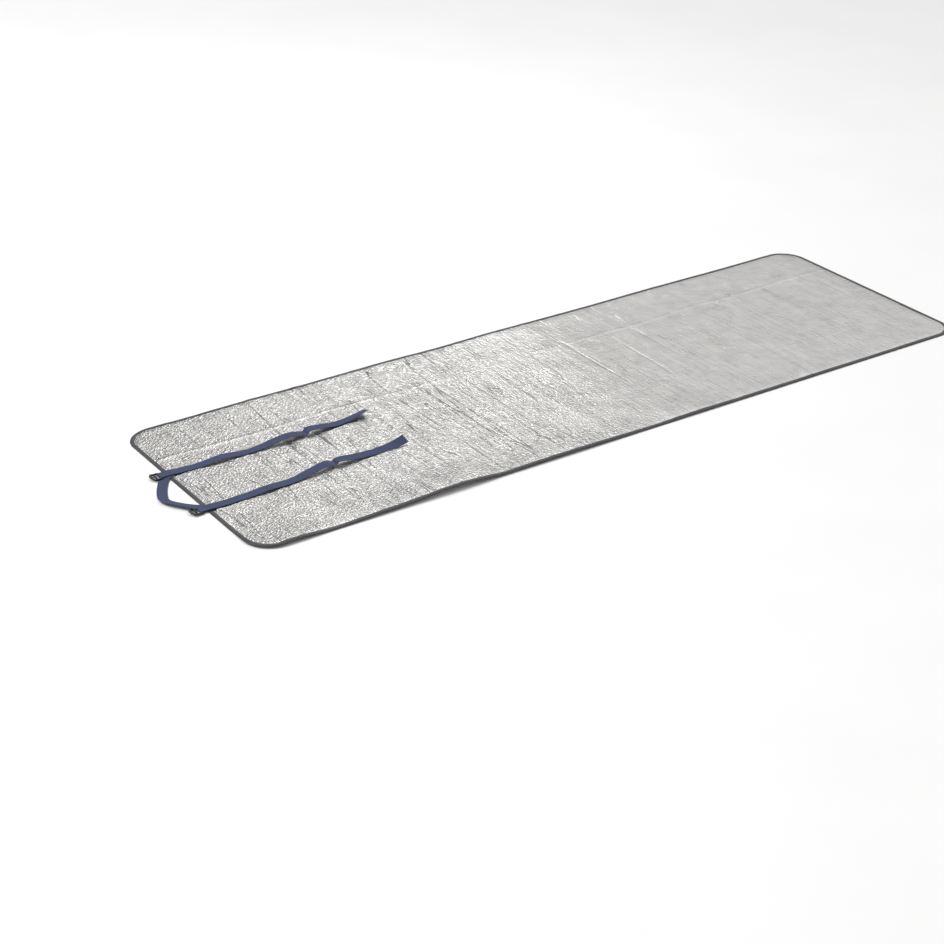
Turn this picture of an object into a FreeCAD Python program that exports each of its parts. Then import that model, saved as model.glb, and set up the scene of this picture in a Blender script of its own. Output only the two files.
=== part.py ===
"""Foil-faced foam sleeping pad, unrolled, with its two closing straps, buckles and carry handle.

Frame: +X runs along the pad from the strap end to the plain end, +Y across it, +Z up.
The origin is at floor level, in the middle of the whole object's footprint. Units: millimetres.

The pad is one laminated sheet. It folds at two lengthwise creases before it is rolled up, so every
layer is made whole and then divided at the creases into a left flap, a middle and a right flap.
"""

import FreeCAD, Part

import os
import re

import Sketcher

DIMENSIONS = (
    # alias, size in mm, what it measures
    ("pad_length", 1870, "sheet, strap end to plain end, over the binding"),
    ("pad_width", 600, "sheet, side to side, over the binding"),
    ("corner_radius", 60, "sheet's corners, over the binding"),
    ("crease_offset", 150, "lengthwise fold creases, either side of the middle"),
    ("crease_gap", 0.2, "between the layers on the two sides of a crease"),
    ("foam_thickness", 2.0, "closed-cell foam"),
    ("foil_thickness", 0.1, "aluminised film on each face"),
    ("tape_thickness", 0.4, "binding tape"),
    ("tape_width", 9, "binding tape seen on each face"),
    ("seam_inset", 6.5, "binding seam, from the sheet's edge"),
    ("thread_width", 0.5, "sewing thread"),
    ("thread_height", 0.2, "sewing thread above what it holds"),
    ("webbing_width", 22, "straps and handle"),
    ("webbing_thickness", 1.2, "straps and handle"),
    ("strap_spacing", 174, "between the two straps' centre lines"),
    ("sewn_length", 14, "webbing sewn down on the pad's end"),
    ("stitch_inset", 2, "box stitch, from the edges of the webbing that it holds"),
    ("strap_length", 485, "strap tip, from the sheet's end"),
    ("strap_clearance", 0.7, "strap above the foil"),
    ("strap_slope", 26, "strap coming down off its sewn end"),
    ("kink_place", 325, "kink left in the strap by the buckle, from the sheet's end"),
    ("kink_half", 22, "half the kink's length"),
    ("kink_height", 6, "kink"),
    ("tip_length", 45, "strap's end that has curled up"),
    ("tip_height", 4, "strap's end that has curled up"),
    ("left_yaw", 1.2, "left strap, degrees outwards"),
    ("right_yaw", 3.2, "right strap, degrees inwards"),
    ("loop_start", 0.6, "where the webbing's layers part towards the buckle, outside the sheet's end"),
    ("bar_setback", 14, "buckle's pivot bar, outside the sheet's end"),
    ("bar_lift", 3.3, "buckle's pivot bar above the floor"),
    ("bar_radius", 1.6, "buckle's pivot bar"),
    ("bar_clearance", 0.25, "webbing loop round the pivot bar"),
    ("buckle_width", 28, "buckle, across the strap"),
    ("buckle_reach", 19, "buckle, from its pivot bar to its outer side"),
    ("buckle_nose", 2.8, "side rails inboard of the pivot bar"),
    ("buckle_corner", 5, "buckle's outer corners"),
    ("nose_corner", 1.8, "side rails' inboard corners"),
    ("tab_length", 3.5, "grip tab on the buckle's outer side"),
    ("tab_width", 13, "grip tab, across the strap"),
    ("tab_corner", 2, "grip tab's outer corners"),
    ("tab_taper", 1, "grip tab narrower at its end, each side"),
    ("window_width", 22.8, "buckle's windows, across the strap"),
    ("near_bar_start", 7.6, "buckle's middle bar, from the pivot bar"),
    ("near_bar_end", 10.4, "buckle's middle bar, from the pivot bar"),
    ("far_bar_start", 15.6, "buckle's end bar, from the pivot bar"),
    ("nose_rise", 1.9, "side rails above and below the pivot bar's axis, at their inboard ends"),
    ("near_bar_top", 2.3, "middle bar's upper side, above the pivot bar's axis"),
    ("near_bar_bottom", 1.7, "middle bar's lower side, below the pivot bar's axis"),
    ("far_bar_top", 3.0, "end bar's upper side, above the pivot bar's axis"),
    ("far_bar_bottom", 0.6, "end bar's lower side, below the pivot bar's axis"),
    ("tab_top", 4.3, "grip tab's upper side, above the pivot bar's axis"),
    ("tab_bottom", 2.7, "grip tab's lower side, above the pivot bar's axis"),
    ("handle_bow", 47, "handle's centre line at its apex, outside the sheet's end"),
    ("handle_half_span", 59, "handle's centre line where it leaves the sheet's end"),
    ("handle_drop", 14, "handle's slope down to the floor"),
    ("handle_lift", 0.5, "handle above the binding where it leaves the sheet's end"),
    ("handle_rest", 0.2, "handle above the floor"),
    ("handle_gap", 0.4, "between the handle's free span and its sewn ends"),
)

PANELS = ("left", "middle", "right")
SIDES = {"left": 1, "right": -1}

doc = FreeCAD.newDocument("foam_sleeping_pad")
sheet = doc.addObject("Spreadsheet::Sheet", "Dimensions")
for row, (alias, size, meaning) in enumerate(DIMENSIONS, start=1):
    sheet.set(f"A{row}", meaning)
    sheet.set(f"B{row}", str(size))
    sheet.setAlias(f"B{row}", alias)
doc.recompute()

ALIASES = {alias for alias, size, meaning in DIMENSIONS}
finished = {}


def dim(text):
    """An expression on the sheet's aliases, as another object has to write it."""
    return re.sub(r"[a-z_]+", lambda m: f"Dimensions.{m[0]}" if m[0] in ALIASES else m[0], text)


def number(text):
    """An expression's present value."""
    return float(sheet.evalExpression(dim(text)))


# ------------------------------------------------------------------ shared levels and places

HANDLE_REACH = "(handle_bow + webbing_width / 2)"
NEAR_EDGE = f"(-(pad_length - {HANDLE_REACH}) / 2)"  # the sheet's strap end, on X
PAD_MIDDLE = f"({NEAR_EDGE} + pad_length / 2)"

RIM_BOTTOM = "tape_thickness"  # under the tape, which squeezes the foam, so that the underside is flush
RIM_FOAM_BOTTOM = "(tape_thickness + foil_thickness)"
FOAM_BOTTOM = "foil_thickness"
FOAM_TOP = "(foil_thickness + foam_thickness)"
FOIL_TOP = f"({FOAM_TOP} + foil_thickness)"
TAPE_TOP = f"({FOIL_TOP} + tape_thickness)"
SEAM_TOP = f"({TAPE_TOP} + thread_height)"
HANDLE_END_TOP = f"({SEAM_TOP} + webbing_thickness)"
STACK_TOP = f"({HANDLE_END_TOP} + 2 * webbing_thickness)"


def plane_of(body, role):
    return [feature for feature in body.Origin.OriginFeatures if feature.Role == role][0]


def outline(body, role, corners, lift="0"):
    """A closed sketch of straight lines, every corner placed from the sheet."""
    sketch = body.newObject("Sketcher::SketchObject", body.Name + "_outline")
    sketch.AttachmentSupport = (plane_of(body, role), [""])
    sketch.MapMode = "FlatFace"
    sketch.setExpression("AttachmentOffset.Base.z", dim(lift))
    places = [FreeCAD.Vector(number(across), number(up), 0) for across, up in corners]
    following = places[1:] + places[:1]
    for place, after in zip(places, following):
        sketch.addGeometry(Part.LineSegment(place, after), False)
    for line in range(len(places)):
        after = (line + 1) % len(places)
        sketch.addConstraint(Sketcher.Constraint("Coincident", line, 2, after, 1))
    for line, corner in enumerate(corners):
        for kind, text in zip(("DistanceX", "DistanceY"), corner):
            held = Sketcher.Constraint(kind, -1, 1, line, 1, number(text))
            index = sketch.addConstraint(held)
            sketch.setExpression(f"Constraints[{index}]", dim(text))
    doc.recompute()
    return sketch


def pad(body, sketch, length, both_ways=False):
    feature = body.newObject("PartDesign::Pad", body.Name + "_pad")
    feature.Profile = sketch
    feature.SideType = "Symmetric" if both_ways else "One side"
    feature.setExpression("Length", dim(length))
    doc.recompute()
    return feature


def new_body(name, x="0", y="0", z="0", yaw="0"):
    body = doc.addObject("PartDesign::Body", name)
    body.setExpression("Placement.Base.x", dim(x))
    body.setExpression("Placement.Base.y", dim(y))
    body.setExpression("Placement.Base.z", dim(z))
    body.Placement.Rotation = FreeCAD.Rotation(FreeCAD.Vector(0, 0, 1), number(yaw))
    doc.recompute()
    return body


def boolean(kind, name, base, tool):
    feature = doc.addObject(kind, name)
    feature.Base = base
    feature.Tool = tool
    doc.recompute()
    return feature


def keep(feature, name):
    """This feature is a finished sub-part, under the name of its file."""
    feature.Label = name
    finished[name] = feature


def upright_edges(shape):
    """The names of a shape's edges that run straight up."""
    names = []
    for index, edge in enumerate(shape.Edges, start=1):
        first, last = edge.Vertexes[0].Point, edge.Vertexes[-1].Point
        if abs(first.z - last.z) > 1e-6 and first.sub(last).cross(FreeCAD.Vector(0, 0, 1)).Length < 1e-6:
            names.append(f"Edge{index}")
    return names


def box(name, low, high):
    """A Part::Box between two corners, given as expressions on the sheet."""
    feature = doc.addObject("Part::Box", name)
    for axis, size, start, end in zip("xyz", ("Length", "Width", "Height"), low, high):
        feature.setExpression(f"Placement.Base.{axis}", dim(start))
        feature.setExpression(size, dim(f"({end}) - ({start})"))
    doc.recompute()
    return feature


# ------------------------------------------------------------------ the laminated sheet


def rounded_slab(name, inset, low, high):
    """The sheet's outline, drawn in by an inset all round, between two levels."""
    body = new_body(name, x=PAD_MIDDLE)
    half_length = f"(pad_length / 2 - {inset})"
    half_width = f"(pad_width / 2 - {inset})"
    corners = (
        (f"-{half_length}", f"-{half_width}"),
        (half_length, f"-{half_width}"),
        (half_length, half_width),
        (f"-{half_length}", half_width),
    )
    block = pad(body, outline(body, "XY_Plane", corners, low), f"{high} - {low}")
    rounding = body.newObject("PartDesign::Fillet", name + "_corners")
    rounding.Base = (block, upright_edges(block.Shape))
    rounding.setExpression("Radius", dim(f"corner_radius - {inset}"))
    doc.recompute()
    return body


def sheet_layers():
    """Every layer of the sheet, made whole: foam, two foils, the folded tape and its seam."""
    inside_tape = "(tape_width + foil_thickness)"
    foam_rim = rounded_slab("foam_rim", "tape_thickness", RIM_FOAM_BOTTOM, FOAM_TOP)
    foam_belly = rounded_slab("foam_belly", inside_tape, FOAM_BOTTOM, RIM_FOAM_BOTTOM)
    foam = boolean("Part::Fuse", "whole_foam", foam_rim, foam_belly)

    top_foil = rounded_slab("whole_top_foil", "tape_thickness", FOAM_TOP, FOIL_TOP)

    foil_rim = rounded_slab("foil_rim", "tape_thickness", RIM_BOTTOM, RIM_FOAM_BOTTOM)
    foil_tray = rounded_slab("foil_tray", "tape_width", "0", RIM_FOAM_BOTTOM)
    stepped_foil = boolean("Part::Fuse", "stepped_foil", foil_rim, foil_tray)
    bottom_foil = boolean("Part::Cut", "whole_bottom_foil", stepped_foil, foam_belly)

    tape_block = rounded_slab("tape_block", "0", "0", TAPE_TOP)
    tape_slot = rounded_slab("tape_slot", "tape_thickness", RIM_BOTTOM, FOIL_TOP)
    tape_window = rounded_slab("tape_window", "tape_width", "0", TAPE_TOP)
    slotted = boolean("Part::Cut", "slotted_tape", tape_block, tape_slot)
    tape = boolean("Part::Cut", "whole_tape", slotted, tape_window)

    seam_outside = rounded_slab("seam_outside", "(seam_inset - thread_width / 2)", TAPE_TOP, SEAM_TOP)
    seam_inside = rounded_slab("seam_inside", "(seam_inset + thread_width / 2)", TAPE_TOP, SEAM_TOP)
    seam = boolean("Part::Cut", "whole_seam", seam_outside, seam_inside)
    return {
        "foam_core": foam,
        "top_foil": top_foil,
        "bottom_foil": bottom_foil,
        "edge_binding": tape,
        "binding_seam": seam,
    }


def panel_zones():
    """The three stretches across the sheet that the creases divide it into."""
    crease = "(crease_offset - crease_gap / 2)"
    beyond = "(crease_offset + crease_gap / 2)"
    side = "(pad_width / 2 + 1)"
    spans = {
        "left": (beyond, side),
        "middle": (f"-{crease}", crease),
        "right": (f"-{side}", f"-{beyond}"),
    }
    start, end = f"{NEAR_EDGE} - 1", f"{NEAR_EDGE} + pad_length + 1"
    return {
        panel: box(f"{panel}_zone", (start, low, "-1"), (end, high, f"{SEAM_TOP} + 1"))
        for panel, (low, high) in spans.items()
    }


def make_sheet():
    zones = panel_zones()
    for layer, whole in sheet_layers().items():
        for panel in PANELS:
            name = f"{layer}_{panel}"
            keep(boolean("Part::Common", name, whole, zones[panel]), name)


# ------------------------------------------------------------------ straps and their sewn ends


def strap(side):
    """The free length of webbing: down off its sewn end, along the foil, over a kink, to its tip."""
    name = f"strap_{side}"
    bottom = f"({FOIL_TOP} + strap_clearance)"
    start = "(sewn_length + 1.5)"
    line = (
        (start, f"({STACK_TOP} - webbing_thickness)"),
        (f"({start} + strap_slope)", bottom),
        ("(kink_place - kink_half)", bottom),
        ("kink_place", f"({bottom} + kink_height)"),
        ("(kink_place + kink_half)", bottom),
        ("(strap_length - tip_length)", bottom),
        ("strap_length", f"({bottom} + tip_height)"),
    )
    upper = tuple((across, f"({up} + webbing_thickness)") for across, up in reversed(line))
    yaw = "left_yaw" if side == "left" else "right_yaw"
    body = new_body(name, NEAR_EDGE, f"{SIDES[side]} * strap_spacing / 2", yaw=yaw)
    pad(body, outline(body, "XZ_Plane", line + upper), "webbing_width", both_ways=True)
    keep(body, name)


def buckle_loop(side):
    """The strap's sewn end: doubled, and folded round the buckle's pivot bar."""
    name = f"buckle_loop_{side}"
    middle = f"({SIDES[side]} * strap_spacing / 2)"
    inner = "(bar_radius + bar_clearance)"
    outer = f"({inner} + webbing_thickness)"
    legs = (
        ("sewn_length", HANDLE_END_TOP),
        ("sewn_length", STACK_TOP),
        ("-loop_start", STACK_TOP),
        ("-bar_setback", f"(bar_lift + {outer})"),
        ("-bar_setback", f"(bar_lift - {outer})"),
        ("-loop_start", HANDLE_END_TOP),
    )
    body = new_body(name + "_legs", NEAR_EDGE, middle)
    pad(body, outline(body, "XZ_Plane", legs), "webbing_width", both_ways=True)

    rounds = {}
    for part, radius, length in (("turn", outer, "webbing_width"), ("eye", inner, "(webbing_width + 2)")):
        rounds[part] = doc.addObject("Part::Cylinder", f"{name}_{part}")
        rounds[part].setExpression("Radius", dim(radius))
        rounds[part].setExpression("Height", dim(length))
        rounds[part].Placement.Rotation = FreeCAD.Rotation(FreeCAD.Vector(1, 0, 0), -90)
        rounds[part].setExpression("Placement.Base.x", dim(f"{NEAR_EDGE} - bar_setback"))
        rounds[part].setExpression("Placement.Base.y", dim(f"{middle} - {length} / 2"))
        rounds[part].setExpression("Placement.Base.z", dim("bar_lift"))
    doc.recompute()
    turned = boolean("Part::Fuse", name + "_turned", body, rounds["turn"])
    keep(boolean("Part::Cut", name, turned, rounds["eye"]), name)


def box_stitch(side):
    """The sewn rectangle, crossed by one run of thread, that holds the stack down."""
    name = f"box_stitch_{side}"
    middle = f"({SIDES[side]} * strap_spacing / 2)"
    low_x, high_x = f"{NEAR_EDGE} + stitch_inset", f"{NEAR_EDGE} + sewn_length - stitch_inset"
    half = "(webbing_width / 2 - stitch_inset)"
    top = f"{STACK_TOP} + thread_height"
    runs = (
        (low_x, f"{middle} - {half}", f"{low_x} + thread_width", f"{middle} + {half}"),
        (f"{high_x} - thread_width", f"{middle} - {half}", high_x, f"{middle} + {half}"),
        (low_x, f"{middle} - {half}", high_x, f"{middle} - {half} + thread_width"),
        (low_x, f"{middle} + {half} - thread_width", high_x, f"{middle} + {half}"),
        (low_x, f"{middle} - thread_width / 2", high_x, f"{middle} + thread_width / 2"),
    )
    stitch = doc.addObject("Part::MultiFuse", name)
    stitch.Shapes = [
        box(f"{name}_run", (x, y, STACK_TOP), (end_x, end_y, top)) for x, y, end_x, end_y in runs
    ]
    doc.recompute()
    keep(stitch, name)


# ------------------------------------------------------------------ buckle


def upright_at(shape, across, off_middle):
    """The names of the upright edges at one place along X, on both sides of the middle."""
    names = []
    for name in upright_edges(shape):
        point = shape.getElement(name).Vertexes[0].Point
        if abs(point.x - across) < 1e-3 and abs(abs(point.y) - off_middle) < 1e-3:
            names.append(name)
    return names


def buckle_plan(name, places):
    """The buckle seen from above: rounded outer corners and a grip tab between them."""
    body = new_body(name + "_plan", *places)
    half, tab, tab_end = "(buckle_width / 2)", "(tab_width / 2)", "(tab_width / 2 - tab_taper)"
    side, tip = "-buckle_reach", "(-buckle_reach - tab_length)"
    upper = (("buckle_nose", half), (side, half), (side, tab), (tip, tab_end))
    lower = tuple((across, f"-{up}") for across, up in reversed(upper))
    feature = pad(body, outline(body, "XY_Plane", upper + lower, "-10"), "20")
    for place, off_middle, radius in (
        (side, half, "buckle_corner"),
        ("buckle_nose", half, "nose_corner"),
        (tip, tab_end, "tab_corner"),
    ):
        rounding = body.newObject("PartDesign::Fillet", f"{name}_{radius}")
        rounding.Base = (feature, upright_at(feature.Shape, number(place), number(off_middle)))
        rounding.setExpression("Radius", dim(radius))
        doc.recompute()
        feature = rounding
    return body


def buckle_profile(name, places):
    """The buckle seen from the side: flat by the pivot bar, rising to its lip."""
    body = new_body(name + "_profile", *places)
    inboard, outboard = "(buckle_nose + 0.1)", "(-buckle_reach - tab_length - 0.1)"  # just past the plan
    rail = (
        (inboard, "-nose_rise"),
        (inboard, "nose_rise"),
        ("-near_bar_end", "near_bar_top"),
        ("-far_bar_start", "far_bar_top"),
        (outboard, "tab_top"),
        (outboard, "tab_bottom"),
        ("-far_bar_start", "-far_bar_bottom"),
        ("-near_bar_end", "-near_bar_bottom"),
    )
    pad(body, outline(body, "XZ_Plane", rail), "buckle_width + 4", both_ways=True)
    return body


def buckle(side):
    """A moulded ladder buckle: two side rails, a round pivot bar, a middle bar and a tabbed end bar."""
    name = f"buckle_{side}"
    pivot = f"({NEAR_EDGE} - bar_setback)"
    middle = f"({SIDES[side]} * strap_spacing / 2)"
    places = (pivot, middle, "bar_lift")
    plan, profile = buckle_plan(name, places), buckle_profile(name, places)
    block = boolean("Part::Common", name + "_block", plan, profile)

    half = "window_width / 2"
    windows = doc.addObject("Part::MultiFuse", name + "_windows")
    windows.Shapes = [
        box(
            name + "_window",
            (f"{pivot} + {start}", f"{middle} - {half}", "bar_lift - 8"),
            (f"{pivot} + {end}", f"{middle} + {half}", "bar_lift + 8"),
        )
        for start, end in (("(-near_bar_start)", "(buckle_nose + 1)"),
                           ("(-far_bar_start)", "(-near_bar_end)"))
    ]
    doc.recompute()
    frame = boolean("Part::Cut", name + "_frame", block, windows)

    length = "(buckle_width + window_width) / 2"
    bar = doc.addObject("Part::Cylinder", name + "_bar")
    bar.setExpression("Radius", dim("bar_radius"))
    bar.setExpression("Height", dim(length))
    bar.Placement.Rotation = FreeCAD.Rotation(FreeCAD.Vector(1, 0, 0), -90)
    bar.setExpression("Placement.Base.x", dim(pivot))
    bar.setExpression("Placement.Base.y", dim(f"{middle} - {length} / 2"))
    bar.setExpression("Placement.Base.z", dim("bar_lift"))
    doc.recompute()
    keep(boolean("Part::Fuse", name, frame, bar), name)


# ------------------------------------------------------------------ handle


def handle_ends():
    """The handle's two sewn ends, slanting in under the straps' sewn ends, flat on the binding."""
    patches = doc.addObject("Part::MultiFuse", "handle_ends")
    bodies = []
    for side, sign in SIDES.items():
        sewn_in = f"{sign} * (strap_spacing / 2 - webbing_width / 2)"
        sewn_out = f"{sign} * (strap_spacing / 2 + webbing_width / 2)"
        leaving = f"{sign} * (handle_half_span - webbing_width / 2)"
        corners = (
            ("0", leaving), ("sewn_length", sewn_in), ("sewn_length", sewn_out), ("0", sewn_out),
        )
        body = new_body(f"handle_end_{side}", NEAR_EDGE)
        pad(body, outline(body, "XY_Plane", corners, SEAM_TOP), "webbing_thickness")
        bodies.append(body)
    patches.Shapes = bodies
    doc.recompute()
    keep(patches, "handle_ends")


def handle():
    """The handle's free span: a bow of webbing seen from above, dropping to the floor from the side."""
    span, bow = number("handle_half_span"), number("handle_bow")
    width = number("webbing_width")
    near_edge = number(NEAR_EDGE)
    radius = (span**2 + bow**2) / (2 * bow)
    centre = FreeCAD.Vector(near_edge - bow + radius, 0, -1)
    tall = 20  # from below the floor to above the whole handle
    ring = Part.makeCylinder(radius + width / 2, tall, centre)
    ring = ring.cut(Part.makeCylinder(radius - width / 2, tall, centre))
    bow_outline = doc.addObject("Part::Feature", "handle_bow_outline")
    bow_outline.Shape = ring

    line = (
        ("-handle_gap", f"({TAPE_TOP} + handle_lift)"),
        ("-handle_drop", "handle_rest"),
        (f"-{HANDLE_REACH} - 1", "handle_rest"),
    )
    upper = tuple((across, f"({up} + webbing_thickness)") for across, up in reversed(line))
    body = new_body("handle_side_outline", NEAR_EDGE)
    pad(body, outline(body, "XZ_Plane", line + upper), "strap_spacing", both_ways=True)
    keep(boolean("Part::Common", "handle", bow_outline, body), "handle")


def check():
    """Every object has been worked out, and every sub-part is a valid shape of its own."""
    for feature in doc.Objects:
        assert not {"Invalid", "Error"} & set(feature.State), f"{feature.Name}: {feature.State}"
    for name, feature in finished.items():
        shape = feature.Shape
        assert not shape.isNull() and shape.isValid() and shape.Solids, f"{name}: not a valid solid"
        print(f"{name}: {len(shape.Solids)} solid(s), {shape.Volume:.1f} mm3")


def main():
    make_sheet()
    for side in SIDES:
        strap(side)
        buckle_loop(side)
        box_stitch(side)
        buckle(side)
    handle_ends()
    handle()
    doc.recompute()
    check()
    os.makedirs("parts", exist_ok=True)
    for name, feature in finished.items():
        feature.Shape.exportStep(f"parts/{name}.step")


main()
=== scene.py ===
"""Looks of the foil-faced foam sleeping pad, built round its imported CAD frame. Units: metres.

The pad lies with its strap end towards -X. Every layer of the sheet follows one relief, worked out
from the place on the sheet: how it lies on the floor, how thick it is, and how its foil is crumpled.
"""

import math

import bpy
import numpy as np
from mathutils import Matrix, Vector


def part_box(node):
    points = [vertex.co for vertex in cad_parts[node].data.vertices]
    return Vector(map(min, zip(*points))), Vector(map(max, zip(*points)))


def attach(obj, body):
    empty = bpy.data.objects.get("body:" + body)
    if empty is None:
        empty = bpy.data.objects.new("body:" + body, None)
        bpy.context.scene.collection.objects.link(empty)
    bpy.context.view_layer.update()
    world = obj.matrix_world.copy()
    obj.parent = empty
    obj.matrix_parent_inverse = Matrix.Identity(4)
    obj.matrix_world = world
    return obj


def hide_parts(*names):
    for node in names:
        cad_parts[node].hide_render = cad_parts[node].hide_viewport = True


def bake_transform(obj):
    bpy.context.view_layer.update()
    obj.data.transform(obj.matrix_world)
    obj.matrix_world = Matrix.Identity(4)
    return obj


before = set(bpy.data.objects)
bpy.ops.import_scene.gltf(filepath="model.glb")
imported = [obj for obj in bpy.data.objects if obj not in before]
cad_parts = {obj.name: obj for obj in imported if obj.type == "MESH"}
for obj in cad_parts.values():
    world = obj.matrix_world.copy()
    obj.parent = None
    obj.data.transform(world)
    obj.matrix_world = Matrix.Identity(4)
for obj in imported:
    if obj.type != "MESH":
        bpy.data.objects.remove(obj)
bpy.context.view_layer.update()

MM = 0.001

# ------------------------------------------------------------------ places that the frame gives

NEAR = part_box("edge_binding_middle")[0].x  # the sheet's strap end
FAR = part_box("edge_binding_middle")[1].x
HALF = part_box("edge_binding_left")[1].y
CREASE = (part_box("foam_core_middle")[1].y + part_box("foam_core_left")[0].y) / 2
STRAP_Y = (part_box("buckle_loop_left")[0].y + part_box("buckle_loop_left")[1].y) / 2
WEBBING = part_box("buckle_loop_left")[1].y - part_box("buckle_loop_left")[0].y
SEWN_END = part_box("handle_ends")[1].x
LOOP_RADIUS = 3.05 * MM  # the webbing loop's outside, round the buckle's pivot bar
BAR_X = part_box("buckle_loop_left")[0].x + LOOP_RADIUS
BAR_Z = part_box("buckle_loop_left")[0].z + LOOP_RADIUS
STACK_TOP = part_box("box_stitch_left")[0].z

CORNER = 60 * MM  # radius of the sheet's corners
TAPE_WIDTH = 9 * MM
TAPE_THICK = 0.4 * MM
SEAM_INSET = 6.5 * MM
STITCH_PITCH = 3.4 * MM
WEB_THICK = 1.2 * MM
SHARP = math.radians(70)  # faces that meet at more than this are not shaded as one

SIDES = {"left": 1, "right": -1}
PANELS = ("left", "middle", "right")
UP = np.array([0, 0, 1.0])

# ------------------------------------------------------------------ random relief


def smooth(low, high, value):
    """0 below low, 1 above high, smooth in between."""
    t = np.clip((value - low) / (high - low), 0, 1)
    return t * t * (3 - 2 * t)


TABLE_SIZE = 128  # random heights repeat after this many lattice cells
LATTICE_SHIFT = (151.3, 87.7)  # keeps the lattice's origin off the sheet


def lattice(x, y, size, angle):
    """Lattice cell and place within it, for a lattice turned by an angle."""
    c, s = math.cos(angle), math.sin(angle)
    u = (x * c + y * s) / size + LATTICE_SHIFT[0]
    v = (y * c - x * s) / size + LATTICE_SHIFT[1]
    i, j = np.floor(u).astype(int), np.floor(v).astype(int)
    return i, j, u - i, v - j


def heights(i, j, seed):
    """A random height, -1 to 1, for each lattice corner."""
    table = np.random.default_rng(seed).uniform(-1, 1, (TABLE_SIZE, TABLE_SIZE))
    return table[i % TABLE_SIZE, j % TABLE_SIZE]


def waves(x, y, size, seed, angle=0.4):
    """Smooth swells, -1 to 1, about size across."""
    i, j, f, g = lattice(x, y, size, angle)
    f, g = f * f * (3 - 2 * f), g * g * (3 - 2 * g)
    low = heights(i, j, seed) * (1 - f) + heights(i + 1, j, seed) * f
    high = heights(i, j + 1, seed) * (1 - f) + heights(i + 1, j + 1, seed) * f
    return low * (1 - g) + high * g


def facets(x, y, size, seed, angle):
    """Crumpled relief of flat triangles with sharp edges, -1 to 1, about size across."""
    bent_x = x + 0.45 * size * waves(x, y, 1.3 * size, seed + 1)
    bent_y = y + 0.45 * size * waves(x, y, 1.3 * size, seed + 2)
    i, j, f, g = lattice(bent_x, bent_y, size, angle)
    a, b = heights(i + 1, j, seed), heights(i, j + 1, seed)
    near = heights(i, j, seed) * (1 - f - g) + a * f + b * g
    far = heights(i + 1, j + 1, seed) * (f + g - 1) + a * (1 - g) + b * (1 - f)
    return np.where(f + g < 1, near, far)


def ridge(distance, width):
    """A soft fold line: 1 on it, 0 beyond its width, sharp at its crest."""
    return np.maximum(0, 1 - np.abs(distance) / width) ** 1.5


# ------------------------------------------------------------------ how the sheet lies

# How far the long edge towards -Y stands off the floor: distance from the strap end, height in mm
EDGE_LIFT = np.array([
    (0.00, 0.0), (0.05, 3.0), (0.10, 6.0), (0.18, 1.0), (0.23, 3.0), (0.32, 5.0), (0.42, 9.5),
    (0.475, 11.0), (0.52, 8.0), (0.565, 3.0), (0.67, 4.0), (0.77, 4.5), (0.87, 2.0), (0.97, 0.3),
    (1.09, 2.6), (1.20, 0.2), (1.45, 0.8), (1.60, 0.2), (1.75, 0.6), (1.87, 0.0),
])
# The same for the long edge towards +Y
BACK_LIFT = np.array([
    (0.00, 0.0), (0.06, 1.5), (0.15, 0.5), (0.32, 2.5), (0.45, 0.6), (0.62, 2.2), (0.80, 0.4),
    (1.00, 1.8), (1.22, 0.3), (1.40, 1.5), (1.64, 0.5), (1.78, 1.2), (1.87, 0.0),
])
EDGE_REACH = 110 * MM  # how far in from the long edges those lifts go
CORNER_LIFT = 5.0  # how far the strap end's corner towards -Y has curled up, in mm
CORNER_REACH = 130 * MM

# Where the sheet was folded over as it was rolled up: distance from the strap end, height in mm, skew
ROLL_MARKS = (
    (0.088, 0.9, 0.020), (0.168, 0.6, -0.012), (0.296, 1.3, 0.014), (0.425, 1.2, -0.006),
    (0.560, 0.9, 0.010), (0.705, 0.8, 0.004), (0.862, 0.7, -0.010), (1.030, 0.6, 0.008),
    (1.215, 0.6, -0.004), (1.420, 0.4, 0.010), (1.640, 0.4, -0.006),
)
MARK_WIDTH = 22 * MM


def along(x):
    """Distance from the strap end."""
    return x - NEAR


def edge_distance(x, y):
    """How far inside the sheet's outline a point lies."""
    across_x = np.abs(x - (NEAR + FAR) / 2) - ((FAR - NEAR) / 2 - CORNER)
    across_y = np.abs(y) - (HALF - CORNER)
    beyond = np.hypot(np.maximum(across_x, 0), np.maximum(across_y, 0))
    return CORNER - beyond - np.minimum(np.maximum(across_x, across_y), 0)


def underside(x, y):
    """Height of the sheet's underside above the floor."""
    u = along(x)
    right_side = 1 - smooth(0, EDGE_REACH, y + HALF)
    left_side = 1 - smooth(0, EDGE_REACH, HALF - y)
    lift = right_side * np.interp(u, EDGE_LIFT[:, 0], EDGE_LIFT[:, 1])
    lift = lift + left_side * np.interp(u, BACK_LIFT[:, 0], BACK_LIFT[:, 1])
    for place, height, skew in ROLL_MARKS:
        wander = place + skew * y / HALF + 0.006 * waves(x * 0, y, 0.09, int(place * 1000))
        strength = 0.35 + 0.65 * np.abs(waves(x * 0, y, 0.16, int(place * 1000) + 7))
        lift = lift + height * strength * smooth(0, 1, 1 - np.abs(u - wander) / MARK_WIDTH)
    swell = 0.9 * waves(x, y, 0.19, 3) + 0.5 * waves(x, y, 0.083, 4)
    ends = smooth(0.012, 0.09, u) * smooth(0.0, 0.06, FAR - x)
    curl = CORNER_LIFT * smooth(0, 1, 1 - np.hypot(x - NEAR, y + HALF) / CORNER_REACH)
    return MM * (curl + ends * np.maximum(0, lift + np.maximum(0, swell)))


SQUEEZED = 2.05  # the sheet's thickness under the seam, in mm
LOFT = 0.42  # how much thicker it is inside, in mm


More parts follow.
